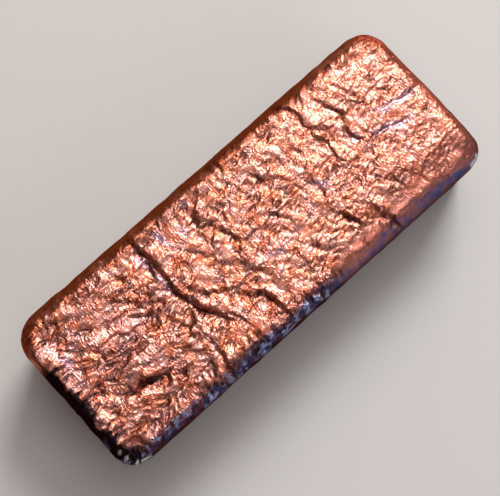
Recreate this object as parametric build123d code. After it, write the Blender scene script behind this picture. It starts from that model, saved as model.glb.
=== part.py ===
from build123d import *

import math
import os

# Copper ingot, poured into an open mould and left to set: one solid casting, in millimetres.
# The flat base rests on z = 0 with its middle at the origin, +X runs along the bar, +Y across it,
# and +Z points out of the pour face.

# Overall size of the casting, outside to outside
LENGTH = 136.0
WIDTH = 52.0
HEIGHT = 32.0

# Form that the mould gives: sides that lean in towards the base, and rounded corners
DRAFT_ANGLE = 4.0
BASE_CORNER_RADIUS = 7.0
BASE_EDGE_RADIUS = 4.0

# Rim of the pour face: rounded over where the melt pulled away from the mould, then a narrow land
RIM_RADIUS = 5.0
RIM_LAND = 0.8

# Pour face inside the rim: its skin shrank a little below the land and sank in the middle
POUR_CORNER_RADIUS = 4.0
SKIN_STEP = 0.3
SINK_DEPTH = 0.5

# Cooling folds sunk into the skin: depth, and route over the face in shares of the bar's half length and
# half width
FOLDS = [
    # The one great fold, from the +Y rim almost to the -Y rim, and the branch that runs on to that rim
    (1.3, [(-0.38, 0.96), (-0.385, 0.58), (-0.40, 0.33), (-0.34, -0.21), (-0.285, -0.46), (-0.25, -0.77)]),
    (1.1, [(-0.29, -0.10), (-0.17, -0.41), (-0.115, -0.58), (-0.09, -0.95)]),
    # The folds near the +X end
    (1.15, [(0.455, 0.96), (0.48, 0.77), (0.49, 0.0)]),
    (0.9, [(0.595, 0.69), (0.635, 0.36), (0.605, 0.16), (0.625, 0.0)]),
    (1.0, [(0.335, -0.36), (0.37, -0.68)]),
    (1.05, [(0.445, -0.52), (0.49, -0.83), (0.50, -1.0)]),
    # The folds near the -X end, which turn lengthwise
    (1.0, [(-0.84, -0.24), (-0.765, -0.345), (-0.63, -0.47), (-0.59, -0.56)]),
    (0.8, [(-0.97, -0.10), (-0.825, -0.11), (-0.735, -0.075)]),
    (0.9, [(-0.635, 0.63), (-0.54, 0.315), (-0.475, 0.015)]),
    (0.8, [(-0.535, 0.79), (-0.495, 0.40)]),
    # The shallow folds in between
    (0.8, [(-0.09, 0.83), (-0.12, 0.58), (-0.04, 0.17)]),
    (0.75, [(0.155, 0.645), (0.185, 0.44), (0.29, 0.20)]),
    (0.75, [(0.34, 0.655), (0.39, 0.31)]),
]

# Ridges that the folds pushed up beside them: height and route
RIDGES = [
    (0.6, [(-0.32, 0.77), (-0.34, 0.385), (-0.275, -0.04)]),
    (0.5, [(-0.07, 0.0), (-0.01, -0.315)]),
    (0.55, [(0.515, 0.75), (0.565, 0.40)]),
    (0.5, [(0.425, -0.115), (0.38, -0.48)]),
]

# Half width of folds and ridges, the margin in which they fade at the rim, and how sharply the stronger
# of two takes over where they meet
FOLD_HALF_WIDTH = 2.6
FOLD_FADE = 4.0
BLEND_POWER = 4

# Spacing of the sections that the pour face is drawn through, and how far it is drawn past its edge
SECTION_STEP = 1.6
SURFACE_MARGIN = 2.5

lean = math.tan(math.radians(DRAFT_ANGLE))
# How far the rim's rounding takes the widest line of the side in from the sharp mouth edge
rim_set_back = RIM_RADIUS * (lean + 1 / math.cos(math.radians(DRAFT_ANGLE)) - 1)
base_set_in = HEIGHT * lean - rim_set_back
pour_length = LENGTH - 2 * (RIM_RADIUS + RIM_LAND)
pour_width = WIDTH - 2 * (RIM_RADIUS + RIM_LAND)


def smooth_step(share):
    """Ease from 0 to 1 as share goes from 0 to 1."""
    share = min(max(share, 0.0), 1.0)
    return share * share * (3 - 2 * share)


def distance_inside(x, y):
    """Distance from a point to the edge of the pour face, negative outside it."""
    past_x = abs(x) - (pour_length / 2 - POUR_CORNER_RADIUS)
    past_y = abs(y) - (pour_width / 2 - POUR_CORNER_RADIUS)
    outside = math.hypot(max(past_x, 0.0), max(past_y, 0.0))
    return POUR_CORNER_RADIUS - outside - min(max(past_x, past_y), 0.0)


def distance_to_route(x, y, route):
    """Distance from a point of the pour face to the route of a fold or ridge."""
    corners = [(share_x * LENGTH / 2, share_y * WIDTH / 2) for share_x, share_y in route]
    nearest = math.inf
    for (x1, y1), (x2, y2) in zip(corners, corners[1:]):
        run_x = x2 - x1
        run_y = y2 - y1
        along = ((x - x1) * run_x + (y - y1) * run_y) / (run_x**2 + run_y**2)
        along = min(max(along, 0.0), 1.0)
        nearest = min(nearest, math.hypot(x - x1 - along * run_x, y - y1 - along * run_y))
    return nearest


def blended(x, y, forms):
    """What a list of folds or ridges comes to at a point: the strongest, with soft changes between them."""
    total = 0.0
    for size, route in forms:
        share = math.exp(-((distance_to_route(x, y, route) / FOLD_HALF_WIDTH) ** 2))
        total += (size * share) ** BLEND_POWER
    return total ** (1 / BLEND_POWER)


def pour_height(x, y):
    """Height of the pour face: level at its edge, sunk, folded and ridged inside it."""
    inside = smooth_step(distance_inside(x, y) / FOLD_FADE)
    return HEIGHT - SKIN_STEP - inside * (SINK_DEPTH + blended(x, y, FOLDS) - blended(x, y, RIDGES))


def places(reach):
    """Evenly spaced places from -reach to +reach, about a section step apart."""
    count = math.ceil(2 * reach / SECTION_STEP)
    return [reach * (2 * number / count - 1) for number in range(count + 1)]


def pour_surface():
    """The pour face as one smooth surface, drawn through sections across the bar."""
    across = places(pour_width / 2 + SURFACE_MARGIN)
    numbers = list(range(len(across)))
    sections = []
    for x in places(pour_length / 2 + SURFACE_MARGIN):
        points = [(x, y, pour_height(x, y)) for y in across]
        sections.append(Wire([Edge.make_spline(points, parameters=numbers)]))
    return Shell.make_loft(sections).face()


def moulded_bar():
    """The bar as the mould gives it: drafted sides, a level top, and rounded rim and base."""
    outline = RectangleRounded(LENGTH - 2 * base_set_in, WIDTH - 2 * base_set_in, BASE_CORNER_RADIUS)
    bar = extrude(outline, HEIGHT, taper=-DRAFT_ANGLE)
    bar = fillet(bar.faces().sort_by(Axis.Z)[-1].edges(), RIM_RADIUS)
    return fillet(bar.faces().sort_by(Axis.Z)[0].edges(), BASE_EDGE_RADIUS)


def shrinkage():
    """The space that the melt left above the pour face as it shrank, inside the rim's land."""
    outline = Pos(0, 0, HEIGHT / 2) * RectangleRounded(pour_length, pour_width, POUR_CORNER_RADIUS)
    return extrude(outline, HEIGHT) & extrude(pour_surface(), HEIGHT, dir=(0, 0, 1))


os.makedirs("parts", exist_ok=True)
ingot = moulded_bar() - shrinkage()
export_step(ingot, "parts/ingot.step")
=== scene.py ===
import itertools
import math

import bpy
import numpy as np
from mathutils import Matrix, Vector


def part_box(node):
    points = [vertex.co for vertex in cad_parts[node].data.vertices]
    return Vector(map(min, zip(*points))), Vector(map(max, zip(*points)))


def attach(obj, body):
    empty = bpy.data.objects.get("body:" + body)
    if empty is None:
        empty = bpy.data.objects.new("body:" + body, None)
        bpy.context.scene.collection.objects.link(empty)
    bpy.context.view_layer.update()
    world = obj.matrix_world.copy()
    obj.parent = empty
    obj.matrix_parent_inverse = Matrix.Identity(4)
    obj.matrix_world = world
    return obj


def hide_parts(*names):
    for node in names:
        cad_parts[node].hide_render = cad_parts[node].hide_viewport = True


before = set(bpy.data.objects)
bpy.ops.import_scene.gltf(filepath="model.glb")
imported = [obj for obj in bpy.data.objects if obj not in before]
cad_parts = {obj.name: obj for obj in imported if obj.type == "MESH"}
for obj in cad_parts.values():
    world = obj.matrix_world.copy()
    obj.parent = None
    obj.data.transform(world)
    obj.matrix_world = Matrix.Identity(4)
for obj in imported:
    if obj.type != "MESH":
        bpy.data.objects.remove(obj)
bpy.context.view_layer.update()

# Copper ingot with its wrinkled pour face. Shapes are worked out in millimetres, in the frame's axes,
# and become metres when a mesh is made. The pour face looks up, and +X is the end at the upper right
# of the picture. In names, north is +Y, south is -Y, east is +X and left is towards -X.
MM = 0.001
node_low, node_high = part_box("ingot")
LENGTH = (node_high.x - node_low.x) / MM
WIDTH = (node_high.y - node_low.y) / MM
HEIGHT = (node_high.z - node_low.z) / MM
BOX_LOW = np.array(node_low) / MM
BOX_HIGH = np.array(node_high) / MM

# Form of the casting, as in the part's source
DRAFT_ANGLE = math.radians(4.0)
BASE_CORNER_RADIUS = 7.0
BASE_EDGE_RADIUS = 4.0
RIM_RADIUS = 5.0
FOLD_HALF_WIDTH = 2.6

# Main folds and ridges of the pour face, as in the part's source: depth or height, and route in shares
# of the bar's half length and half width
FOLDS = [
    (1.3, [(-0.38, 0.96), (-0.385, 0.58), (-0.40, 0.33), (-0.34, -0.21), (-0.285, -0.46), (-0.25, -0.77)]),
    (1.1, [(-0.29, -0.10), (-0.17, -0.41), (-0.115, -0.58), (-0.09, -0.95)]),
    (1.15, [(0.455, 0.96), (0.48, 0.77), (0.49, 0.0)]),
    (0.9, [(0.595, 0.69), (0.635, 0.36), (0.605, 0.16), (0.625, 0.0)]),
    (1.0, [(0.335, -0.36), (0.37, -0.68)]),
    (1.05, [(0.445, -0.52), (0.49, -0.83), (0.50, -1.0)]),
    (1.0, [(-0.84, -0.24), (-0.765, -0.345), (-0.63, -0.47), (-0.59, -0.56)]),
    (0.8, [(-0.97, -0.10), (-0.825, -0.11), (-0.735, -0.075)]),
    (0.9, [(-0.635, 0.63), (-0.54, 0.315), (-0.475, 0.015)]),
    (0.8, [(-0.535, 0.79), (-0.495, 0.40)]),
    (0.8, [(-0.09, 0.83), (-0.12, 0.58), (-0.04, 0.17)]),
    (0.75, [(0.155, 0.645), (0.185, 0.44), (0.29, 0.20)]),
    (0.75, [(0.34, 0.655), (0.39, 0.31)]),
]
RIDGES = [
    (0.6, [(-0.32, 0.77), (-0.34, 0.385), (-0.275, -0.04)]),
    (0.5, [(-0.07, 0.0), (-0.01, -0.315)]),
    (0.55, [(0.515, 0.75), (0.565, 0.40)]),
    (0.5, [(0.425, -0.115), (0.38, -0.48)]),
]

# Lower folds and ridges between them, in the same terms
LOW_FOLDS = [
    (0.65, [(-0.11, -0.06), (-0.035, -0.515)]),
    (0.6, [(0.095, -0.33), (0.095, -0.73)]),
    (0.6, [(0.34, 0.10), (0.35, -0.13)]),
    (0.6, [(-0.20, 0.18), (-0.15, 0.13)]),
    (0.6, [(-0.605, 0.25), (-0.535, 0.08)]),
    (0.5, [(0.14, 0.06), (0.185, -0.21)]),
]
LOW_RIDGES = [
    (0.9, [(-0.375, -0.20), (-0.365, -0.43), (-0.375, -0.65), (-0.385, -0.77)]),
    (0.45, [(-0.82, -0.015), (-0.79, -0.19)]),
    (0.45, [(0.015, -0.33), (0.015, -0.64)]),
    (0.45, [(-0.745, 0.245), (-0.67, 0.025)]),
    (0.4, [(0.755, -0.675), (0.91, -0.485)]),
    (0.4, [(0.10, 0.675), (0.13, 0.445)]),
    (0.45, [(-0.145, 0.83), (-0.14, 0.67)]),
    (0.4, [(-0.91, 0.31), (-0.85, 0.02)]),
    (0.35, [(0.235, -0.63), (0.30, -0.71)]),
    (0.35, [(0.30, 0.79), (0.305, 0.58)]),
    (0.35, [(-0.625, -0.615), (-0.555, -0.715)]),
]

# How folds are drawn, against the part's source: width, share of the depth and of ridges, what the thin folds
# of the +X +Y quarter lack of that share, how much steeper the wall on the light's side is, height of the lip
# on that side and its place in half widths, and the power that sharpens the bottom
FOLD_TIGHTNESS = 0.80
FOLD_SHARE = 0.55
THIN_FOLD_LOSS = 0.24
FOLD_STEEPNESS = 0.60
FOLD_LIP = 0.25
LIP_PLACE = 2.2
FOLD_POWER = 1.5

# Routes of folds and creases fade over a share of their length at each end, to a share of their depth
ROUTE_TAPER = 0.25
ROUTE_END_SHARE = 0.35

# Sharp creases of the skin: depth, half width and route, in millimetres on a face of the drawn size
DRAWN_SIZE = (136.0, 52.0)
CREASES = [
    # In the great fold and its branch
    (0.75, 0.90, [(-25.0, 25.6), (-25.3, 20.6), (-24.1, 15.0), (-25.0, 9.6), (-25.3, 4.6), (-24.2, -0.4),
                  (-22.8, -6.4), (-20.0, -11.6)]),
    (0.60, 0.70, [(-19.0, -8.2), (-16.9, -13.2), (-16.3, -16.4), (-15.2, -19.2)]),
    (0.60, 0.65, [(-21.5, 1.0), (-19.6, -2.4), (-15.2, -5.1), (-11.6, -7.4)]),
    (0.60, 0.70, [(-13.6, -7.9), (-9.6, -12.2), (-7.4, -13.6), (-6.6, -19.6), (-5.5, -26.5)]),
    (0.55, 0.90, [(-27.6, -10.6), (-27.3, -17.0), (-28.4, -23.4)]),
    # Towards the +X end
    (0.50, 0.60, [(30.4, 25.8), (32.8, 22.4), (34.2, 18.4), (33.2, 15.8), (33.9, 13.0), (38.2, 8.6)]),
    (0.45, 0.70, [(33.9, 9.2), (35.1, 7.0), (34.9, 4.6), (33.8, 0.6)]),
    (0.50, 0.55, [(40.4, 18.2), (42.0, 13.8), (44.4, 9.4), (45.6, 7.6)]),
    (0.50, 0.65, [(41.9, 7.6), (41.2, 3.8), (43.2, 0.4)]),
    (0.35, 0.60, [(44.0, 0.4), (49.0, -1.2), (55.0, -3.2), (58.4, -3.3)]),
    (0.35, 0.60, [(47.6, 17.6), (48.1, 15.4), (49.0, 13.6)]),
    (0.40, 0.60, [(47.4, 12.2), (48.6, 9.6), (50.1, 8.0)]),
    (0.35, 0.70, [(53.4, 3.4), (60.0, 2.0), (65.6, 1.5)]),
    (0.65, 0.70, [(24.0, -10.2), (25.7, -15.8), (26.4, -18.4)]),
    (0.40, 0.50, [(21.6, -15.6), (23.6, -16.9), (25.8, -18.0)]),
    (0.45, 0.70, [(33.9, -4.6), (33.9, -7.4), (33.0, -10.2)]),
    (0.40, 0.50, [(42.4, -12.0), (42.3, -14.8), (43.0, -17.2)]),
    (0.35, 0.70, [(45.2, -12.6), (48.4, -18.0), (49.0, -22.0)]),
    (0.70, 0.80, [(30.8, -18.4), (33.9, -21.8), (34.2, -26.4)]),
    (0.45, 0.80, [(25.0, -0.6), (24.6, -2.8), (23.9, -4.2)]),
    (0.40, 0.60, [(26.4, 13.0), (27.0, 10.6), (27.6, 8.0)]),
    (0.35, 0.50, [(57.0, 8.2), (58.6, 6.2)]),
    (0.25, 0.40, [(60.4, 6.2), (63.0, 6.8), (66.0, 7.0)]),
    # In the middle of the face
    (0.60, 0.70, [(-4.2, 9.0), (-3.7, 6.8), (-2.3, 3.1)]),
    (0.40, 0.70, [(-8.6, 12.6), (-6.4, 11.9), (-5.0, 11.0)]),
    (0.40, 0.90, [(-2.6, 20.8), (-6.8, 16.6), (-9.8, 12.2)]),
    (0.45, 0.60, [(7.9, 25.2), (7.6, 21.2), (6.6, 20.2)]),
    (0.25, 0.50, [(13.0, -9.4), (17.4, -11.1), (21.8, -8.2)]),
    (0.25, 0.50, [(-10.4, -8.2), (-5.0, -9.0), (-0.4, -7.6)]),
    (0.50, 0.90, [(4.9, -20.6), (5.2, -22.8), (5.4, -25.8)]),
    (0.40, 0.70, [(11.8, -21.4), (12.3, -23.6), (12.3, -26.0)]),
    (0.35, 0.60, [(9.6, 1.4), (11.4, -0.6), (13.2, -3.2)]),
    (0.35, 0.60, [(9.0, -2.5), (9.8, -4.6), (10.8, -6.8)]),
    (0.40, 0.60, [(19.6, 4.2), (20.2, 1.8), (21.4, -0.2)]),
    (0.45, 0.60, [(-18.4, 14.4), (-17.4, 12.6), (-16.6, 11.2)]),
    (0.40, 0.50, [(-16.6, 22.4), (-16.4, 20.0)]),
    (0.35, 0.60, [(4.6, -15.8), (5.8, -17.0), (6.8, -18.0)]),
    # Towards the -X end, most of them lengthwise
    (1.15, 0.80, [(-56.0, -7.6), (-51.6, -9.7), (-48.5, -9.5), (-43.6, -11.2), (-38.6, -13.0)]),
    (0.80, 0.65, [(-66.5, -2.4), (-61.5, -2.4), (-59.0, -3.1)]),
    (0.85, 0.65, [(-60.0, -1.7), (-57.5, -1.6), (-54.5, -3.0), (-52.4, -3.4)]),
    (0.50, 0.60, [(-61.0, 14.0), (-58.8, 10.9), (-57.0, 10.0)]),
    (0.50, 0.65, [(-57.0, 6.3), (-55.6, 5.0), (-54.3, 3.8)]),
    (0.50, 0.65, [(-52.6, 6.0), (-51.9, 4.3), (-52.3, 2.6)]),
    (0.50, 0.60, [(-54.0, 0.9), (-51.5, 0.2), (-48.0, -1.6)]),
    (0.50, 0.65, [(-42.5, 13.3), (-38.6, 10.9), (-37.2, 9.3)]),
    (0.55, 0.75, [(-40.5, 7.0), (-36.0, 4.2), (-31.8, 1.8)]),
    (0.45, 0.65, [(-37.0, 7.0), (-34.5, 6.3), (-30.8, 4.6)]),
    (0.50, 0.65, [(-34.8, 11.3), (-33.2, 9.2), (-31.3, 7.4)]),
    (0.40, 0.60, [(-52.3, -14.3), (-50.5, -16.0), (-49.0, -17.0)]),
    (0.35, 0.60, [(-41.0, -13.3), (-39.3, -14.3), (-38.8, -15.5)]),
]

# How creases are drawn: width and depth against the list, steepness as for folds, how far they are moved away
# from the light, the share of the depth that doesn't vary along them, and how much they follow the jags
CREASE_SPREAD = 0.85
CREASE_SHARE = 0.80
CREASE_STEEPNESS = 0.15
CREASE_SHIFT = 0.4
CREASE_STEADY = 0.6
CREASE_JAGS = 0.5

# Wrinkles between the folds: size across, height and seed of each layer, wide ones first, how many layers
# share a course, how much longer each layer is for its width than the one before, and how far crests lean
WRINKLES = [(6.5, 0.32, 11), (3.2, 0.21, 23), (1.7, 0.18, 37), (0.95, 0.165, 41)]
COURSE_LAYERS = 2
WRINKLE_STRETCH = 1.25
WRINKLE_LEAN = 0.9

# A layer is the greater of two noises, taken so many cells apart. Its sharp valleys lie at a level below the
# face, and a gain sets how far it swings.
SECOND_NOISE = 40.5
VALLEY_LEVEL = 0.3
WRINKLE_GAIN = 2

# Wrinkles of each part of the face: courses of the wide and the fine layers, stretch along them, and seed
SKIN = {
    "left": ([(0.96, -0.28), (0.98, -0.2)], 1.7, 100),
    "middle": ([(0.42, -0.91), (0.97, 0.24)], 1.4, 0),
    "rims": ([(0.05, 1.0), (0.42, 0.91)], 1.9, 200),
    "ends": ([(1.0, 0.1), (1.0, 0.1)], 1.9, 300),
}

# Limits between which the fine layers vary in strength, and what they lose towards the +X end
FINENESS_LIMITS = (0.45, 1.15)
FINENESS_LOSS = 0.08

# How calm the wrinkles are on the smooth rims and the sides, how much of their height calm takes away, and
# how much rougher the -X part and the torn rim are
NORTH_CALM = 0.35
EAST_CALM = 0.45
SOUTH_CALM = 0.4
SIDE_CALM = 0.6
CALMING = 0.9
LEFT_ROUGHNESS = 0.22
TORN_ROUGHNESS = 0.8

# Level of the face against the rim, and over what width it goes down to there
FACE_LEVEL = -0.8
FACE_FADE = 9.0

# Height of the knobs on the torn rim, how far the face sags towards the -Y rim and what share of that towards
# the other smooth rims, how much fuller the two -Y corners are, and how much tighter the -X end's rim is
TEETH_HEIGHT = 0.7
RIM_DROOP = 1.3
LESSER_DROOP = 0.6
CORNER_FULLNESS = 0.7
TIGHT_END = 0.9

# How much folds and creases sway, the least share of a fold's depth along it, lumps of the rim all round and
# more of them at -Y, how far the outline is drawn in, and how much of a fold's depth counts for the painted
# shade in creases
SWAY_SHARE = 0.35
LEAST_DEPTH = 0.25
RIM_LUMPS = 0.3
SOUTH_LUMPS = 0.25
OUTLINE_DRAWN_IN = 0.05
FOLD_SHADE = 0.4

# Noises: strength, size of the patches in millimetres, the same all ways or along X, Y and Z, and seed
NOISES = {
    "fineness": [(0.55, 7.0, 91)],
    "uneven": [(1.0, 3.5, 77)],
    "side": [(0.16, 5.0, 81), (0.10, 2.2, 82)],
    "outline": [(0.25, 8.0, 83)],
    "lumps": [(1.0, 4.5, 84)],
    "teeth": [(1.0, (2.8, 6.0, 6.0), 63), (0.6, 1.5, 64)],
    "ragged": [(1.0, 4.0, 61), (0.6, 1.5, 62)],
    "drift": [(1.6, 10.0, 60)],
    "patches": [(1.0, 3.0, 58), (0.5, 1.2, 59)],
    "spikes": [(1.0, (5.0, 1.5, 5.0), 65), (0.5, 1.2, 66)],
    "gaps": [(1.0, (1.6, 5.0, 5.0), 54), (0.5, 1.2, 66)],
    "crust": [(1.0, 6.0, 55), (0.6, 2.0, 56)],
    "mauve": [(1.0, 5.0, 57)],
    "pale": [(0.4, 0.8, 69)],
}

# Shifts to the side: reach in millimetres, size of the patches, and seed along X, with the next seed along Y
SHIFTS = {
    "sway": [(1.5, 9.0, 71), (0.45, 2.6, 73)],
    "jags": [(1.0, 1.9, 75), (0.25, 0.9, 78)],
    "wander": [(1.0, 2.2, 67)],
}

# Zones: where each begins and where it is whole
ZONES = {
    # Parts of the bar, in millimetres along X or Y, or from its middle
    "left_part": (-28.0, -42.0),
    "both_ends": (59.5, 64.0),
    "both_rims": (17.0, 22.5),
    "less_fine": (20.0, 50.0),
    "calm_north": (21.5, 25.5),
    "calm_east": (62.0, 67.0),
    "calm_south": (-15.0, -22.5),
    "even_half": (8.0, 16.0),
    "torn_half": (12.0, 4.0),
    "torn_side": (15.0, -15.0),
    "rough_left": (-20.0, -38.0),
    "torn_rim_x": (13.0, 5.0),
    "torn_rim_y": (-13.0, -19.0),
    "droop_north": (14.0, 24.0),
    "droop_south": (-13.0, -24.0),
    "droop_half": (4.0, 16.0),
    "droop_east": (56.0, 66.0),
    "thin_folds_x": (10.0, 28.0),
    "thin_folds_y": (-2.0, 6.0),
    "lumpy_south": (-15.0, -20.0),
    "tight_end": (-61.0, -65.0),
    "brown_side": (12.0, 19.0),
    "red_end": (59.0, 64.0),
    "oxide_south": (-12.0, -17.0),
    "blue_stretch": (65.0, 57.0),
    "black_end": (-60.0, -63.0),
    "black_stretch": (17.0, 9.0),
    "black_south": (0.0, -12.0),
    "pink_stretch": (-10.0, 58.0),
    "mauve_part": (-20.0, -45.0),
    # Up and down the bar, in the upward part of the normal: 1 on the top, 0 on an upright side
    "past_brow": (0.9, 0.3),
    "brow": (0.97, 0.7),
    "torn_over": (0.99, 0.85),
    "torn_under": (0.0, 0.3),
    "droop_up": (0.0, 0.7),
    "corner_over": (0.98, 0.6),
    "on_top": (-0.2, 0.5),
    "off_base": (-0.98, -0.6),
    "on_rim": (-0.1, 0.3),
    "low_rim": (0.55, 0.1),
    "crest_top": (0.7, 0.95),
    # From the edge of the bar inwards, in millimetres, and from its -X -Y corner
    "brown": (7.0, 0.5),
    "red": (4.5, 0.5),
    "blue": (3.2, 0.4),
    "glint_edge": (5.0, 3.0),
    "end_black": (6.0, 3.0),
    "torn_black": (3.6, 1.2),
    "corner_black": (11.0, 5.0),
    # Levels of a share or a noise, heights and depths of the skin, and a distance in half widths
    "diagonal": (0.0, 0.7),
    "patchy": (-0.5, 0.4),
    "glint_knobs": (0.0, 0.4),
    "crust": (-0.9, 0.9),
    "crease_shade_level": (0.36, 0.72),
    "skin_shade_level": (-0.12, -0.40),
    "crest_highlight_level": (0.05, 0.5),
    "mauve_patch": (-0.1, 0.4),
    "pale_mark": (1.3, 0.7),
}

# How far the oxides and the painted shade reach: how much the noises move their edges, and reach of the
# violet
BROWN_DRIFT = 1.3
RED_DRIFT = 0.5
FRINGE_DRIFT = 0.7
FRINGE_EVEN_DRIFT = 1.3
FRINGE_TEETH = 2.2
VIOLET_REACH = 8.0
VIOLET_EVEN_REACH = 2.5
VIOLET_WHOLE = 1.5
SPIKE_REACH = 2.4
GAP_REACH = 2.4
CORNER_DRIFT = 1.5
PINK_DRIFT = 8.0

# How strong the stains and the painted highlight, glints and shade are
LEAST_BLUE = 0.45
GLINT_SHARE = 0.85
TORN_GAP_SHADE = 0.62
LOW_SHADE = 0.95
LOW_SHADE_LOSS = 0.5
SIDE_BLACK = 0.65
CRUST_BLACK = 0.3
SKIN_SHADE = 0.7
CREST_HIGHLIGHT_SHARE = 0.6
PINK_SHARE = 0.5
MAUVE_SHARE = 0.10
DULL_VIOLET = 0.6
DULL_BLUE = 0.5
DULL_SIDES = 0.35
DULL_PALE = 0.6

# How much of the sheen red oxide and the painted shade in creases take away
RED_COVER = 0.8
CREASE_SHADE_COVER = 0.85

# Lilac along some creases, partly a film of oxide and partly a painted reflection of cool light: strength,
# share of it at their ends, half width and routes, in millimetres as for the creases
LILAC_SHARE = 0.5
LILAC_END_SHARE = 0.4
LILAC_HALF_WIDTH = 1.0
LILAC = [
    [(-27.0, 20.0), (-26.2, 12.0), (-25.6, 4.0)],
    [(-19.0, 20.0), (-17.5, 14.0)],
    [(-12.5, 16.0), (-11.5, 13.0)],
    [(-7.5, 23.0), (-6.5, 19.0)],
    [(-63.0, 16.0), (-60.5, 9.0), (-62.0, 5.0)],
    [(50.0, 5.5), (53.0, 3.0), (60.0, 2.0), (65.0, 2.0)],
    [(45.0, 0.0), (49.0, -1.2), (55.0, -3.2), (58.0, -3.3)],
    [(24.0, 1.0), (27.0, -3.0)],
    [(0.0, -6.5), (6.0, -7.0)],
    [(41.0, 5.0), (42.0, 1.0)],
]

# Pale specks and a pale spot on the rim: half width and route, in millimetres as for the creases
PALE_MARKS = [
    (0.45, [(-66.0, -19.7), (-66.0, -19.3)]),
    (0.35, [(-65.4, -21.5), (-65.1, -21.6)]),
    (0.35, [(-64.2, -24.0), (-63.8, -24.1)]),
    (0.20, [(-63.4, -25.0), (-60.4, -25.9)]),
    (0.25, [(64.6, -24.0), (63.2, -25.0), (61.2, -25.7)]),
]

# Direction towards the main light, seen from above: the wall of a fold on that side is in shade
LIGHT_SIDE = np.array((0.887, 0.461))

# Mesh: cells along and across the top, spacing of the rows down the sides, and how the base is thinned
TOP_CELLS_X = 404
TOP_CELLS_Y = 164
SIDE_ROW_STEP = 2.0
BASE_THINNING = 4

# Places in the baked texture: left, bottom, right and top of each area
TOP_AREA = (0.01, 0.59, 0.99, 0.99)
SIDE_AREAS = [(0.01, 0.40, 0.99, 0.57), (0.01, 0.21, 0.99, 0.38)]
BASE_AREA = (0.01, 0.01, 0.60, 0.19)

# Copper where it is bare, the paler film on it, and the stains, painted highlight, glints, reflection and
# shade over both, each with its mask
COPPER = (0.90, 0.165, 0.03)
COPPER_FILM = (0.71, 0.27, 0.21)
STAINS = [
    ("pink", (0.82, 0.22, 0.12)),
    # Painted highlight on the crests of the wrinkles
    ("crest_highlight", (0.88, 0.33, 0.23)),
    # Painted shade in creases and in the valleys of the wrinkles
    ("crease_shade", (0.10, 0.024, 0.016)),
    # Partly a lilac film of oxide, partly a painted reflection of cool light
    ("lilac", (0.42, 0.34, 0.52)),
    ("brown", (0.30, 0.075, 0.032)),
    ("red", (0.50, 0.11, 0.065)),
    ("violet", (0.38, 0.14, 0.11)),
    # Partly blue oxide, partly a painted reflection of cool light on the -Y rim
    ("blue", (0.09, 0.11, 0.28)),
    # Black in the -X -Y corner, painted shade at the -X end, in the gaps of the torn rim and low on -Y, and
    # oxide with painted shade on the sides
    ("black_and_shade", (0.022, 0.012, 0.012)),
    # Painted glints of cool light on the knobs of the torn rim
    ("glint", (0.28, 0.35, 0.58)),
    ("pale", (0.62, 0.72, 0.76)),
]

# Gloss of the copper: tint at grazing angles, clear film, and roughness where it is bare and where it is dull
SPECULAR_TINT = (0.44, 0.27, 0.21)
COAT_IOR = 2.0
COAT_ROUGHNESS = 0.10
BARE_ROUGHNESS = (0.17, 0.27)
DULL_ROUGHNESS = 0.6

# Patches of film, roughness and bump, in millimetres, and the levels and detail of the noise that makes them
FILM_PATCH = 3.5
ROUGHNESS_PATCH = 3.0
BUMP_PATCH = 8.0
PATCH_LEVELS = (0.35, 0.65)
PATCH_DETAIL = 4.0

# Wrinkles finer than the mesh: depth in millimetres, strength over the face and where it is dull, size in
# millimetres, turn in radians and stretch, how far in cells and over what size they bend, and the detail
# and middle of their noise
BUMP_DEPTH = 0.6
BUMP_RANGE = (0.35, 1.0)
DULL_BUMP = 0.5
FINE_SIZE = 0.55
FINE_TURN = 0.2
FINE_STRETCH = 3.0
FINE_BEND = 2.0
FINE_BEND_PATCH = 3.0
FINE_DETAIL = 1.0
NOISE_MIDDLE = 0.5

# Stage: half side of the floor in metres, its colour and roughness, and light of the dim room
FLOOR_HALF = 2.0
FLOOR_COLOUR = (0.80, 0.78, 0.75)
FLOOR_ROUGHNESS = 0.6
ROOM_LIGHT = (0.115, 0.072, 0.058)

# Soft lights: name, azimuth from +X towards +Y and elevation in degrees, distance and side lengths in metres,
# radiance and colour
SOFTBOXES = [
    ("key", 27.0, 42.0, 1.8, (0.69, 0.69), 12.4, (1.0, 0.99, 0.99)),
    ("halo", 30.0, 50.0, 1.3, (1.6, 1.6), 0.71, (1.0, 0.95, 0.90)),
    ("overhead", 47.0, 86.0, 0.9, (0.7, 0.7), 0.50, (0.88, 0.94, 1.0)),
    ("fill", -80.0, 28.0, 0.9, (0.8, 0.6), 1.1, (0.78, 0.88, 1.0)),
]

# Picture that the camera is set for, in pixels, where the camera stands and how wide its sensor is, in
# millimetres, and the nearest distance that it shows, in metres
PICTURE_WIDTH = 500
FOCAL_PIXELS = 1502.0
CAMERA_ELEVATION = math.radians(79.5)
CAMERA_AZIMUTH = math.radians(-42.12)
CAMERA_DISTANCE = 434.6
CAMERA_TARGET = (0.10, 0.73, 16.0)
SENSOR_WIDTH = 36.0
NEAR_CLIP = 0.01

# Slopes that noise draws on and its gain, a length that keeps divisions safe, and one past all others
NOISE_SLOPES = 256
NOISE_GAIN = 1.5
TINY = 1e-6
FAR = 1e9


def smooth_step(low, high, value):
    """Ease from 0 at low to 1 at high."""
    share = np.clip((value - low) / (high - low), 0.0, 1.0)
    return share * share * (3 - 2 * share)


def zone(name, value):
    """Ease from 0 where a zone begins to 1 where it is whole."""
    return smooth_step(*ZONES[name], value)


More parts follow.
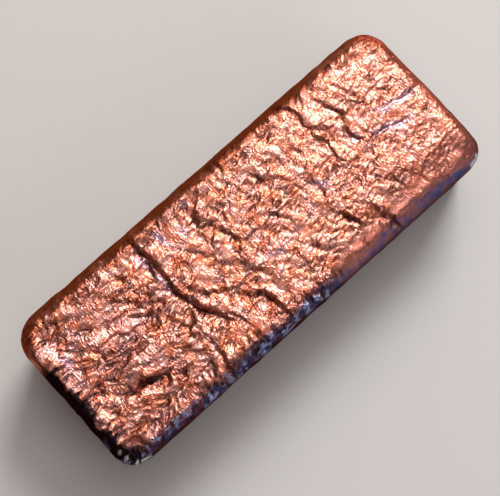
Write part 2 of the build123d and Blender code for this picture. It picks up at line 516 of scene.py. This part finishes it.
def noise(points, seed):
    """Gradient noise at points given in noise cells, from about -1 to 1."""
    random = np.random.default_rng(seed)
    table = np.tile(random.permutation(NOISE_SLOPES), 2)
    slopes = random.normal(size=(NOISE_SLOPES, 3))
    slopes /= np.linalg.norm(slopes, axis=1, keepdims=True)
    cell = np.floor(points).astype(int)
    part = points - cell
    fade = part**3 * (part * (6 * part - 15) + 10)
    total = np.zeros(len(points))
    for corner in itertools.product((0, 1), repeat=3):
        corner = np.array(corner)
        number = (cell + corner) % NOISE_SLOPES
        slope = slopes[table[table[table[number[:, 0]] + number[:, 1]] + number[:, 2]]]
        weight = np.prod(np.where(corner == 1, fade, 1 - fade), axis=1)
        total += weight * np.sum((part - corner) * slope, axis=1)
    return NOISE_GAIN * total


def layered(points, name):
    """One of the noises: its layers added up."""
    return sum(strength * noise(points / np.array(size), seed) for strength, size, seed in NOISES[name])


def shifted(points, name):
    """One of the shifts to the side: its layers added up, along X and along Y."""
    total = np.zeros((len(points), 2))
    for reach, size, seed in SHIFTS[name]:
        places = points / size
        total += reach * np.stack([noise(places, seed), noise(places, seed + 1)], axis=1)
    return total


# Section of the bar, from the edge of the flat top over the rim and down to the flat base
lean = math.tan(DRAFT_ANGLE)
rim_set_back = RIM_RADIUS * (lean + 1 / math.cos(DRAFT_ANGLE) - 1)
base_set_in = HEIGHT * lean - rim_set_back
core_x = LENGTH / 2 - base_set_in - BASE_CORNER_RADIUS
core_y = WIDTH / 2 - base_set_in - BASE_CORNER_RADIUS
flat_reach = base_set_in + BASE_CORNER_RADIUS - RIM_RADIUS
base_reach = BASE_CORNER_RADIUS + lean * BASE_EDGE_RADIUS - BASE_EDGE_RADIUS / math.cos(DRAFT_ANGLE)
rim_arc = RIM_RADIUS * (math.pi / 2 + DRAFT_ANGLE)
rim_foot = HEIGHT - RIM_RADIUS * (1 + math.sin(DRAFT_ANGLE))
base_shoulder = BASE_EDGE_RADIUS * (1 - math.sin(DRAFT_ANGLE))
side_run = (rim_foot - base_shoulder) / math.cos(DRAFT_ANGLE)
base_arc = BASE_EDGE_RADIUS * (math.pi / 2 - DRAFT_ANGLE)


def section(run):
    """Reach from the corner's axis, height, and outward and upward parts of the normal, down the section."""
    rim_turn = np.clip(run / RIM_RADIUS, 0.0, math.pi / 2 + DRAFT_ANGLE)
    down = np.clip(run - rim_arc, 0.0, side_run)
    base_turn = np.clip((run - rim_arc - side_run) / BASE_EDGE_RADIUS, 0.0, math.pi / 2 - DRAFT_ANGLE)
    turn = rim_turn + base_turn
    reach = flat_reach + np.minimum(run, 0.0) + RIM_RADIUS * np.sin(rim_turn) - down * math.sin(DRAFT_ANGLE)
    reach += BASE_EDGE_RADIUS * (np.cos(DRAFT_ANGLE + base_turn) - math.cos(DRAFT_ANGLE))
    height = HEIGHT - RIM_RADIUS * (1 - np.cos(rim_turn)) - down * math.cos(DRAFT_ANGLE)
    height -= BASE_EDGE_RADIUS * (np.sin(DRAFT_ANGLE + base_turn) - math.sin(DRAFT_ANGLE))
    return reach, height, np.sin(turn), np.cos(turn)


def top_grid():
    """Corner axis, direction and distance from it, for each node of the unrolled top and rim."""
    edge = flat_reach + rim_arc
    flat_x = np.linspace(-core_x - edge, core_x + edge, TOP_CELLS_X + 1)
    flat_y = np.linspace(-core_y - edge, core_y + edge, TOP_CELLS_Y + 1)
    x, y = np.meshgrid(flat_x, flat_y, indexing="ij")
    axis_x = np.clip(x, -core_x, core_x)
    axis_y = np.clip(y, -core_y, core_y)
    past_x = (x - axis_x) / edge
    past_y = (y - axis_y) / edge
    round_x = edge * past_x * np.sqrt(1 - past_y**2 / 2)
    round_y = edge * past_y * np.sqrt(1 - past_x**2 / 2)
    distance = np.hypot(round_x, round_y)
    safe = np.maximum(distance, TINY)
    return axis_x, axis_y, round_x / safe, round_y / safe, distance


def place(axis_x, axis_y, out_x, out_y, run):
    """Points and normals of the smooth bar for corner axes, directions and runs down the section."""
    reach, height, outward, upward = section(run)
    points = np.stack([axis_x + out_x * reach, axis_y + out_y * reach, height], axis=-1)
    normals = np.stack([out_x * outward, out_y * outward, upward], axis=-1)
    return points.reshape(-1, 3), normals.reshape(-1, 3)


def edge_distance(points):
    """Distance of a point inside the bar's outline, seen from above."""
    past_x = np.maximum(np.abs(points[:, 0]) - core_x, 0.0)
    past_y = np.maximum(np.abs(points[:, 1]) - core_y, 0.0)
    inner = np.minimum(core_x - np.abs(points[:, 0]), core_y - np.abs(points[:, 1]))
    return flat_reach + RIM_RADIUS - np.hypot(past_x, past_y) + np.maximum(inner, 0.0)


def drawn(route):
    """A route that was drawn on a face of the drawn size, set on the bar's own face."""
    return np.array(route) * (LENGTH, WIDTH) / DRAWN_SIZE


def nearest_on_route(points, route):
    """Distance to a route, side towards the light from -1 to 1, and share that fades to 0 at its ends."""
    best = np.full(len(points), FAR)
    towards = np.zeros(len(points))
    along = np.zeros(len(points))
    start = 0.0
    for first, last in zip(route, route[1:]):
        run = last - first
        length = np.hypot(*run)
        share = np.clip((points - first) @ run / length**2, 0.0, 1.0)
        away = points - first - share[:, None] * run
        distance = np.hypot(away[:, 0], away[:, 1])
        nearer = distance < best
        best = np.where(nearer, distance, best)
        towards = np.where(nearer, away @ LIGHT_SIDE / np.maximum(distance, TINY), towards)
        along = np.where(nearer, start + share * length, along)
        start += length
    ends = smooth_step(0.0, ROUTE_TAPER * start, np.minimum(along, start - along))
    return best, towards, ends


def fold_profile(points, route, half_width, steepness, lip):
    """Share of a fold's depth: 1 on its route, steeper towards the light, with a raised lip on that side."""
    distance, towards, ends = nearest_on_route(points, route)
    lit_side = smooth_step(-1.0, 1.0, towards)
    reach = distance / (half_width * (1.0 + steepness - 2 * steepness * lit_side))
    lifted = lip * lit_side * np.exp(-((reach - LIP_PLACE) ** 2))
    return (np.exp(-(reach**FOLD_POWER)) - lifted) * (ROUTE_END_SHARE + (1 - ROUTE_END_SHARE) * ends)


def stronger(first, second):
    """Whichever of two reliefs departs more from the face, at each point."""
    return np.where(np.abs(second) > np.abs(first), second, first)


def folded(points, forms, lip):
    """Strongest of a list of folds or ridges at each point."""
    total = np.zeros(len(points))
    half_width = FOLD_HALF_WIDTH * FOLD_TIGHTNESS
    for size, route in forms:
        route = np.array(route) * (LENGTH / 2, WIDTH / 2)
        total = stronger(total, size * fold_profile(points, route, half_width, FOLD_STEEPNESS, lip))
    return total


def creased(points):
    """Strongest of the sharp creases at each point."""
    total = np.zeros(len(points))
    for depth, half_width, route in CREASES:
        route = drawn(route) - CREASE_SHIFT * LIGHT_SIDE
        profile = fold_profile(points, route, half_width * CREASE_SPREAD, CREASE_STEEPNESS, FOLD_LIP)
        total = stronger(total, depth * profile)
    return total


def wrinkles(points, courses, stretch, seed, fineness):
    """Wrinkles of the skin, the wide and the fine ones each stretched along their course over the face."""
    total = np.zeros(len(points))
    for number, (size, height, layer_seed) in enumerate(WRINKLES):
        course = courses[number // COURSE_LAYERS]
        length = stretch * WRINKLE_STRETCH**number
        leaning = points.copy()
        leaning[:, :2] += WRINKLE_LEAN * total[:, None] * LIGHT_SIDE
        along = leaning[:, 0] * course[0] + leaning[:, 1] * course[1]
        across = leaning[:, 1] * course[0] - leaning[:, 0] * course[1]
        places = np.stack([along / length, across, leaning[:, 2] / length], axis=1) / size
        first = noise(places, layer_seed + seed)
        lumps = np.maximum(first, noise(places + SECOND_NOISE, layer_seed + seed + 1))
        total += height * fineness**number * (np.abs(lumps) - VALLEY_LEVEL) * WRINKLE_GAIN
    return total


def wrinkled_skin(points, sway):
    """Wrinkles of each part of the face, run together: their direction changes over the bar."""
    x, y = points[:, 0], points[:, 1]
    swayed = points.copy()
    swayed[:, :2] += sway
    fineness = np.clip(1.0 + layered(points, "fineness"), *FINENESS_LIMITS)
    fineness -= FINENESS_LOSS * zone("less_fine", x)
    at_end = zone("both_ends", np.abs(x))
    near_rim = zone("both_rims", np.abs(y)) * (1 - at_end)
    left = zone("left_part", x)
    shares = {
        "left": left * (1 - near_rim) * (1 - at_end),
        "middle": (1 - left) * (1 - near_rim) * (1 - at_end),
        "rims": near_rim,
        "ends": at_end,
    }
    total = sum(share * wrinkles(swayed, *SKIN[name], fineness) for name, share in shares.items())
    return total / np.sqrt(sum(share**2 for share in shares.values()))


def liveliness(points, upward):
    """How strong the wrinkles are: weak on smooth rims and sides, strong on the torn rim and the -X part."""
    x, y = points[:, 0], points[:, 1]
    torn = zone("torn_half", x) * zone("torn_side", y)
    calms = [
        NORTH_CALM * zone("calm_north", y),
        EAST_CALM * zone("calm_east", x),
        SOUTH_CALM * zone("calm_south", y) * zone("even_half", x),
        SIDE_CALM * (1 - torn) * zone("past_brow", upward),
    ]
    calm = np.max(calms, axis=0)
    rough_part = 1 + LEFT_ROUGHNESS * zone("rough_left", x)
    rough_rim = 1 + TORN_ROUGHNESS * torn * zone("brow", upward)
    return rough_part * (1 - CALMING * calm) * rough_rim


def torn_share(points, upward):
    """How much of the torn -Y rim a point belongs to."""
    over = zone("torn_over", upward) * zone("torn_under", upward)
    return over * zone("torn_rim_x", points[:, 0]) * zone("torn_rim_y", points[:, 1])


def rim_droop(points, upward):
    """How far the face sags towards its smooth rims, but not towards the torn rim and the -X end."""
    x, y = points[:, 0], points[:, 1]
    north = LESSER_DROOP * zone("droop_north", y)
    south = zone("droop_south", y) * zone("droop_half", x)
    east = LESSER_DROOP * zone("droop_east", x)
    return RIM_DROOP * np.max([north, south, east], axis=0) * zone("droop_up", upward)


def corner_fullness(points, upward):
    """How much fuller the melt set in the two corners of the -Y side."""
    past_x = np.abs(points[:, 0]) - core_x
    past_y = -core_y - points[:, 1]
    diagonal = np.minimum(past_x, past_y) / np.maximum(np.hypot(past_x, past_y), TINY)
    fullness = CORNER_FULLNESS * zone("diagonal", diagonal) * zone("corner_over", upward)
    return np.where((past_x > 0) & (past_y > 0), fullness, 0.0)


def relief(points, normals):
    """Height of the skin over the smooth bar, and the wrinkles and creases that the painted highlight and
    shade follow.
    """
    x, y = points[:, 0], points[:, 1]
    upward = normals[:, 2]
    sway = shifted(points, "sway")
    jags = shifted(points, "jags")
    swayed = points[:, :2] + SWAY_SHARE * sway
    skin = wrinkled_skin(points, sway) * liveliness(points, upward)
    uneven = np.maximum(1.0 + layered(points, "uneven"), LEAST_DEPTH)
    fold_share = FOLD_SHARE - THIN_FOLD_LOSS * zone("thin_folds_x", x) * zone("thin_folds_y", y)
    fold = fold_share * uneven * folded(swayed + jags, FOLDS + LOW_FOLDS, FOLD_LIP)
    ridge = FOLD_SHARE * folded(swayed + jags, RIDGES + LOW_RIDGES, 0.0)
    crease_share = CREASE_SHARE * (CREASE_STEADY + (1 - CREASE_STEADY) * uneven)
    crease = crease_share * creased(swayed + CREASE_JAGS * jags)

    on_top = zone("on_top", upward)
    inside = smooth_step(0.0, FACE_FADE, edge_distance(points))
    face = skin - fold - crease + ridge + FACE_LEVEL * inside
    lumps = (RIM_LUMPS + SOUTH_LUMPS * zone("lumpy_south", y)) * on_top * layered(points, "lumps")
    outline = layered(points, "outline") + lumps - OUTLINE_DRAWN_IN

    # The end's rim is fuller half way round, where the normal leans by 45 degrees
    tight_end = TIGHT_END * zone("tight_end", x) * 2 * upward * np.sqrt(1 - upward**2)
    total = on_top * face + (1 - on_top) * layered(points, "side")
    total += outline * (1 - inside)
    total += tight_end * on_top
    total += TEETH_HEIGHT * layered(points, "teeth") * torn_share(points, upward)
    total += corner_fullness(points, upward) - rim_droop(points, upward)
    return total, skin, (FOLD_SHADE * fold + crease) * on_top


def cells(grid):
    """The four corners of each cell of a grid, going round."""
    corners = [grid[:-1, :-1], grid[1:, :-1], grid[1:, 1:], grid[:-1, 1:]]
    return np.stack(corners, axis=2).reshape(-1, 4, *grid.shape[2:])


def zipped(upper, lower):
    """Triangles between a row of nodes and a thinner row below it."""
    ratio = (len(upper) - 1) // (len(lower) - 1)
    triangles = [np.stack([upper[ratio // 2 :: ratio][: len(lower) - 1], lower[:-1], lower[1:]], axis=1)]
    for step in range(ratio):
        foot = lower[:-1] if step < ratio // 2 else lower[1:]
        triangles.append(np.stack([upper[:-1][step::ratio], foot, upper[1:][step::ratio]], axis=1))
    return np.concatenate(triangles)


def rim_of(grid):
    """The outer nodes of a grid, going round, with the first repeated at the end."""
    return np.concatenate([grid[:-1, 0], grid[-1, :-1], grid[:0:-1, -1], grid[0, :0:-1], grid[:1, 0]])


def texture_grid(columns, rows, area):
    """Places in the texture for the nodes of a grid that fills an area."""
    left, bottom, right, top = area
    across, up = np.meshgrid(np.linspace(left, right, columns), np.linspace(bottom, top, rows), indexing="ij")
    return np.stack([across, up], axis=-1)


def bar_patches():
    """Points and normals of the smooth bar, and its quads and triangles with their places in the texture."""
    axis_x, axis_y, out_x, out_y, distance = top_grid()
    points, normals = place(axis_x, axis_y, out_x, out_y, distance - flat_reach)
    top = np.arange(distance.size).reshape(distance.shape)
    quads = [(cells(top), cells(texture_grid(*top.shape, TOP_AREA)))]
    triangles = []

    # The sides: rows of nodes below the outer nodes of the top
    ring = rim_of(top)
    loop = ring[:-1]
    rows = math.ceil((side_run + base_arc) / SIDE_ROW_STEP)
    runs = rim_arc + (side_run + base_arc) * np.arange(1, rows) / rows
    columns = [np.repeat(values.ravel()[loop], rows - 1) for values in (axis_x, axis_y, out_x, out_y)]
    side_points, side_normals = place(*columns, np.tile(runs, len(loop)))
    side = len(points) + np.arange(len(side_points)).reshape(len(loop), rows - 1)
    side = np.concatenate([ring[:, None], np.concatenate([side, side[:1]])], axis=1)[:, ::-1]

    # The base: the nodes of the top, thinned out and drawn in to the flat of the base
    thin = (slice(None, None, BASE_THINNING), slice(None, None, BASE_THINNING))
    inner = distance[thin] * base_reach / (flat_reach + rim_arc)
    base_x = axis_x[thin] + out_x[thin] * inner
    base_y = axis_y[thin] + out_y[thin] * inner
    base_points = np.stack([base_x, base_y, np.zeros(inner.shape)], axis=-1).reshape(-1, 3)
    base = len(points) + len(side_points) + np.arange(inner.size).reshape(inner.shape)
    foot = rim_of(base)
    quads.append((cells(base)[:, ::-1], cells(texture_grid(*base.shape, BASE_AREA))[:, ::-1]))

    # Two halves of the sides, each with its own area of the texture, and the triangles down to the base
    half = len(loop) // 2
    thin_half = half // BASE_THINNING
    for number, area in enumerate(SIDE_AREAS):
        part = slice(number * half, (number + 1) * half + 1)
        thin_part = slice(number * thin_half, (number + 1) * thin_half + 1)
        texture = texture_grid(half + 1, rows + 1, area)
        quads.append((cells(side[part]), cells(texture[:, 1:])))
        hem = zipped(side[part, 0], foot[thin_part])
        triangles.append((hem, zipped(texture[:, 1], texture[::BASE_THINNING, 0])))

    points = np.concatenate([points, side_points, base_points])
    normals = np.concatenate([normals, side_normals, np.tile((0.0, 0.0, -1.0), (len(base_points), 1))])
    return points, normals, quads, triangles


def ingot_mesh():
    """The bar as one closed mesh: fine on the top and rim, coarser down the sides and underneath."""
    points, normals, quads, triangles = bar_patches()
    height, skin, crease = relief(points, normals)
    lifted = zone("off_base", normals[:, 2])
    masks = stains(points, normals, skin, crease)
    points = np.clip(points + normals * (height * lifted)[:, None], BOX_LOW, BOX_HIGH)

    mesh = bpy.data.meshes.new("ingot_skin")
    patches = quads + triangles
    polygons = [corners for numbers, _ in patches for corners in numbers.tolist()]
    mesh.from_pydata((points * MM).tolist(), [], polygons)
    mesh.polygons.foreach_set("use_smooth", np.ones(len(mesh.polygons), bool))
    texture = mesh.uv_layers.new(name="OFBake")
    places = np.concatenate([places.ravel() for _, places in patches])
    texture.uv.foreach_set("vector", places.astype(np.float32))
    for name, values in masks.items():
        attribute = mesh.attributes.new(name, "FLOAT", "POINT")
        attribute.data.foreach_set("value", values.astype(np.float32))
    mesh.update()
    return mesh


def lilac_film_and_reflection(points):
    """Share of the lilac, partly a film of oxide and partly a painted reflection of cool light: strongest
    along its routes, with ragged edges.
    """
    wandering = points[:, :2] + shifted(points, "wander")
    total = np.zeros(len(points))
    for route in LILAC:
        distance, _, ends = nearest_on_route(wandering, drawn(route))
        film = np.exp(-((distance / LILAC_HALF_WIDTH) ** 2))
        total = np.maximum(total, film * (LILAC_END_SHARE + (1 - LILAC_END_SHARE) * ends))
    return LILAC_SHARE * total


def pale_marks(points):
    """Share of the small pale marks on the rim."""
    ragged = layered(points, "pale")
    total = np.zeros(len(points))
    for half_width, route in PALE_MARKS:
        away = nearest_on_route(points[:, :2], drawn(route))[0] / half_width
        total = np.maximum(total, zone("pale_mark", away + ragged))
    return total


def south_fringe(points, edge, drifting):
    """Distance from the -Y edge as the oxide, painted reflection and painted shade there follow it: toothed
    on the torn rim, drifting past the middle.
    """
    even = zone("even_half", points[:, 0])
    teeth = FRINGE_TEETH * layered(points, "teeth") * (1 - even)
    return edge + drifting * (FRINGE_DRIFT + FRINGE_EVEN_DRIFT * even) + teeth


def black_oxide_and_shade(points, upward, edge, ragged, fringe):
    """Share of black: painted shade at the -X end, on the torn rim and low on -Y, black in the end's -Y
    corner, and oxide with painted shade on the sides.
    """
    x, y = points[:, 0], points[:, 1]
    on_rim = zone("on_rim", upward)
    even = zone("even_half", x)
    south = zone("oxide_south", y) * on_rim
    end = zone("end_black", edge + ragged + SPIKE_REACH * layered(points, "spikes"))
    corner = np.hypot(x + LENGTH / 2, y + WIDTH / 2)
    gaps = zone("torn_black", fringe + GAP_REACH * layered(points, "gaps"))
    low = zone("low_rim", upward) * zone("black_south", y)
    rims = [
        # Painted shade at the -X end
        end * zone("black_end", x) * zone("black_stretch", y),
        # Black in the -X -Y corner
        zone("corner_black", corner + CORNER_DRIFT * ragged),
        # Painted shade in the gaps between the knobs of the torn rim
        TORN_GAP_SHADE * gaps * south * (1 - even),
        # Painted shade low on the -Y side
        LOW_SHADE * low * (1 - LOW_SHADE_LOSS * even),
    ]
    crust = zone("crust", layered(points, "crust"))
    # On the sides, oxide and painted shade, mottled
    return np.max(rims, axis=0) * on_rim + (SIDE_BLACK + CRUST_BLACK * crust) * (1 - on_rim)


def stains(points, normals, skin, crease):
    """Where the skin is stained, or painted with light and shade: shares from 0 to 1 for each point of the
    mesh.
    """
    x, y = points[:, 0], points[:, 1]
    upward = normals[:, 2]
    edge = edge_distance(points)
    ragged = layered(points, "ragged")
    drifting = layered(points, "drift") + ragged
    on_rim = zone("on_rim", upward)
    sides = 1 - on_rim
    even = zone("even_half", x)
    fringe = south_fringe(points, edge, drifting)
    south = zone("oxide_south", y) * on_rim

    brown = zone("brown", edge + BROWN_DRIFT * drifting) * zone("brown_side", y) + sides
    violet = smooth_step(VIOLET_REACH + VIOLET_EVEN_REACH * even, VIOLET_WHOLE, fringe) * south
    patchy = LEAST_BLUE + (1 - LEAST_BLUE) * zone("patchy", layered(points, "patches"))
    # Partly blue oxide, partly a painted reflection of cool light on the outer -Y rim
    blue = zone("blue", fringe) * south * patchy * zone("blue_stretch", x)
    glint = zone("glint_knobs", layered(points, "teeth")) * torn_share(points, upward)
    mauve = MAUVE_SHARE * zone("mauve_part", x) * zone("mauve_patch", layered(points, "mauve"))
    pale = pale_marks(points) * on_rim
    dull_rim = (DULL_VIOLET * violet + DULL_BLUE * blue) * even
    masks = {
        "pink": PINK_SHARE * zone("pink_stretch", x + PINK_DRIFT * ragged),
        # Painted highlight on the crests of the wrinkles
        "crest_highlight": CREST_HIGHLIGHT_SHARE * zone("crest_highlight_level", skin) * zone("crest_top", upward),
        # Painted shade in creases and in the valleys of the wrinkles
        "crease_shade": zone("crease_shade_level", crease) + SKIN_SHADE * zone("skin_shade_level", skin),
        # Lilac, partly oxide film and partly a painted reflection of cool light, and a mauve film on the -X
        # part
        "lilac": np.maximum(lilac_film_and_reflection(points), mauve) * on_rim,
        "brown": brown,
        "red": zone("red", edge + RED_DRIFT * ragged) * zone("red_end", x) * on_rim,
        "violet": violet,
        "blue": blue,
        # Painted shade and black, partly oxide
        "black_and_shade": black_oxide_and_shade(points, upward, edge, ragged, fringe),
        # Painted glints of cool light on the knobs of the torn rim
        "glint": GLINT_SHARE * glint * zone("glint_edge", edge),
        "pale": pale,
        "dull": dull_rim + DULL_SIDES * (brown + sides) + DULL_PALE * pale,
    }
    masks = {name: np.clip(share, 0.0, 1.0) for name, share in masks.items()}
    bare = (1 - masks["brown"]) * (1 - masks["violet"]) * (1 - masks["black_and_shade"])
    masks["sheen"] = bare * (1 - RED_COVER * masks["red"]) * (1 - CREASE_SHADE_COVER * masks["crease_shade"])
    return masks


def add_node(tree, kind, **settings):
    """Add a node with its properties set."""
    node = tree.nodes.new(kind)
    for name, value in settings.items():
        setattr(node, name, value)
    return node


def mask_of(tree, name):
    """A stain that the mesh carries."""
    return add_node(tree, "ShaderNodeAttribute", attribute_name=name).outputs["Fac"]


def noise_node(tree, places, detail):
    """Noise texture with cells of one unit of its places."""
    texture = add_node(tree, "ShaderNodeTexNoise")
    texture.inputs["Scale"].default_value = 1.0
    texture.inputs["Detail"].default_value = detail
    tree.links.new(places, texture.inputs["Vector"])
    return texture


def mapped(tree, size, angle=0.0, stretch=1.0):
    """Places on the ingot in cells of a size in millimetres, turned about Z and stretched along Y."""
    turned = add_node(tree, "ShaderNodeMapping")
    cell = 1.0 / (size * MM)
    turned.inputs["Rotation"].default_value = (0.0, 0.0, angle)
    turned.inputs["Scale"].default_value = (cell, cell / stretch, cell)
    tree.links.new(add_node(tree, "ShaderNodeTexCoord").outputs["Object"], turned.inputs["Vector"])
    return turned.outputs["Vector"]


def graded(tree, value, low, high, start=0.0, stop=1.0):
    """A value from start to stop spread from low to high."""
    node = add_node(tree, "ShaderNodeMapRange")
    node.inputs["From Min"].default_value = start
    node.inputs["From Max"].default_value = stop
    node.inputs["To Min"].default_value = low
    node.inputs["To Max"].default_value = high
    tree.links.new(value, node.inputs["Value"])
    return node.outputs["Result"]


def mottle(tree, size, low, high):
    """Patchy noise with patches of a size in millimetres, from low to high."""
    patches = noise_node(tree, mapped(tree, size), PATCH_DETAIL)
    return graded(tree, patches.outputs["Fac"], low, high, *PATCH_LEVELS)


def fine_wrinkle(tree):
    """Creased noise whose streaks bend about, for wrinkles finer than the mesh."""
    bending = noise_node(tree, mapped(tree, FINE_BEND_PATCH), FINE_DETAIL)
    pushed = add_node(tree, "ShaderNodeVectorMath", operation="MULTIPLY_ADD")
    pushed.inputs[1].default_value = (FINE_BEND, FINE_BEND, FINE_BEND)
    tree.links.new(bending.outputs["Color"], pushed.inputs[0])
    tree.links.new(mapped(tree, FINE_SIZE, FINE_TURN, FINE_STRETCH), pushed.inputs[2])
    middle = add_node(tree, "ShaderNodeMath", operation="SUBTRACT")
    middle.inputs[1].default_value = NOISE_MIDDLE
    creased_noise = add_node(tree, "ShaderNodeMath", operation="ABSOLUTE")
    tree.links.new(noise_node(tree, pushed.outputs[0], FINE_DETAIL).outputs["Fac"], middle.inputs[0])
    tree.links.new(middle.outputs[0], creased_noise.inputs[0])
    return creased_noise.outputs[0]


def copper_colour(tree):
    """Bare copper, mottled, with its stains and its painted light and shade over it."""
    mix = add_node(tree, "ShaderNodeMix", data_type="RGBA")
    mix.inputs["A"].default_value = (*COPPER, 1.0)
    mix.inputs["B"].default_value = (*COPPER_FILM, 1.0)
    tree.links.new(mottle(tree, FILM_PATCH, 0.0, 1.0), mix.inputs["Factor"])
    for name, colour in STAINS:
        below = mix.outputs["Result"]
        mix = add_node(tree, "ShaderNodeMix", data_type="RGBA")
        mix.inputs["B"].default_value = (*colour, 1.0)
        tree.links.new(mask_of(tree, name), mix.inputs["Factor"])
        tree.links.new(below, mix.inputs["A"])
    return mix.outputs["Result"]


def copper_roughness(tree):
    """Roughness: low and mottled where the copper is bare, high where it is dull."""
    dull = add_node(tree, "ShaderNodeMix")
    dull.inputs["B"].default_value = DULL_ROUGHNESS
    tree.links.new(mask_of(tree, "dull"), dull.inputs["Factor"])
    tree.links.new(mottle(tree, ROUGHNESS_PATCH, *BARE_ROUGHNESS), dull.inputs["A"])
    return dull.outputs["Result"]


def copper_bump(tree):
    """Normals of the fine wrinkles: patchy, and weaker where the copper is dull."""
    bump = add_node(tree, "ShaderNodeBump")
    bump.inputs["Distance"].default_value = BUMP_DEPTH * MM
    strength = add_node(tree, "ShaderNodeMath", operation="MULTIPLY")
    tree.links.new(graded(tree, mask_of(tree, "dull"), 1.0, DULL_BUMP), strength.inputs[0])
    tree.links.new(mottle(tree, BUMP_PATCH, *BUMP_RANGE), strength.inputs[1])
    tree.links.new(strength.outputs[0], bump.inputs["Strength"])
    tree.links.new(fine_wrinkle(tree), bump.inputs["Height"])
    return bump.outputs["Normal"]


def copper_material():
    """As-cast copper: bright where the skin is bare, with brown, red, violet, blue and black oxide, and
    painted highlights, glints, reflections and shade.
    """
    material = bpy.data.materials.new("cast_copper")
    material.use_nodes = True
    tree = material.node_tree
    shader = tree.nodes["Principled BSDF"]
    shader.inputs["Metallic"].default_value = 1.0
    shader.inputs["Specular Tint"].default_value = (*SPECULAR_TINT, 1.0)
    shader.inputs["Coat IOR"].default_value = COAT_IOR
    shader.inputs["Coat Roughness"].default_value = COAT_ROUGHNESS
    tree.links.new(copper_colour(tree), shader.inputs["Base Color"])
    tree.links.new(mask_of(tree, "sheen"), shader.inputs["Coat Weight"])
    tree.links.new(copper_roughness(tree), shader.inputs["Roughness"])
    normal = copper_bump(tree)
    tree.links.new(normal, shader.inputs["Normal"])
    tree.links.new(normal, shader.inputs["Coat Normal"])
    return material


def floor_material():
    """Plain pale floor."""
    material = bpy.data.materials.new("pale_floor")
    material.use_nodes = True
    shader = material.node_tree.nodes["Principled BSDF"]
    shader.inputs["Base Color"].default_value = (*FLOOR_COLOUR, 1.0)
    shader.inputs["Roughness"].default_value = FLOOR_ROUGHNESS
    return material


def add_object(name, data):
    """Link a new object into the scene."""
    piece = bpy.data.objects.new(name, data)
    bpy.context.scene.collection.objects.link(piece)
    return piece


def add_floor():
    """A floor that reaches past the picture."""
    half = FLOOR_HALF
    corners = [(-half, -half, 0), (half, -half, 0), (half, half, 0), (-half, half, 0)]
    mesh = bpy.data.meshes.new("floor")
    mesh.from_pydata(corners, [], [(0, 1, 2, 3)])
    mesh.materials.append(floor_material())
    add_object("floor", mesh)


def add_softbox(name, azimuth, elevation, distance, size, radiance, colour):
    """A soft light that faces the ingot. Azimuth is measured from +X towards +Y."""
    azimuth = math.radians(azimuth)
    elevation = math.radians(elevation)
    level = math.cos(elevation)
    away = Vector((math.cos(azimuth) * level, math.sin(azimuth) * level, math.sin(elevation)))
    lamp = bpy.data.lights.new(name, "AREA")
    lamp.shape = "RECTANGLE"
    lamp.size, lamp.size_y = size
    lamp.energy = radiance * math.pi * size[0] * size[1]
    lamp.color = colour
    box = add_object(name, lamp)
    box.location = away * distance
    box.rotation_euler = away.to_track_quat("Z", "Y").to_euler()
    box.visible_camera = False


def add_lights():
    """A key light with a wide, weak light round it, one overhead and a cool fill, in a dim room."""
    world = bpy.data.worlds.new("studio")
    bpy.context.scene.world = world
    world.use_nodes = True
    background = world.node_tree.nodes["Background"]
    background.inputs["Color"].default_value = (*ROOM_LIGHT, 1.0)
    background.inputs["Strength"].default_value = 1.0
    for softbox in SOFTBOXES:
        add_softbox(*softbox)


def add_camera():
    """The camera of the picture."""
    level = math.cos(CAMERA_ELEVATION)
    back_x = math.sin(CAMERA_AZIMUTH) * level
    back_y = -math.cos(CAMERA_AZIMUTH) * level
    back = Vector((back_x, back_y, math.sin(CAMERA_ELEVATION)))
    right = Vector((math.cos(CAMERA_AZIMUTH), math.sin(CAMERA_AZIMUTH), 0.0))
    up = back.cross(right)
    data = bpy.data.cameras.new("camera")
    data.sensor_fit = "HORIZONTAL"
    data.sensor_width = SENSOR_WIDTH
    data.lens = FOCAL_PIXELS * SENSOR_WIDTH / PICTURE_WIDTH
    data.clip_start = NEAR_CLIP
    camera = add_object("camera", data)
    turn = Matrix((right, up, back)).transposed().to_4x4()
    camera.matrix_world = Matrix.Translation((Vector(CAMERA_TARGET) + back * CAMERA_DISTANCE) * MM) @ turn
    bpy.context.scene.camera = camera


def add_ingot():
    """The dressed ingot, which takes the place of the plain solid."""
    mesh = ingot_mesh()
    mesh.materials.append(copper_material())
    skin = add_object("ingot_skin", mesh)
    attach(skin, "root")
    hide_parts("ingot")


bpy.context.scene.view_settings.view_transform = "Standard"
add_ingot()
add_floor()
add_lights()
add_camera()
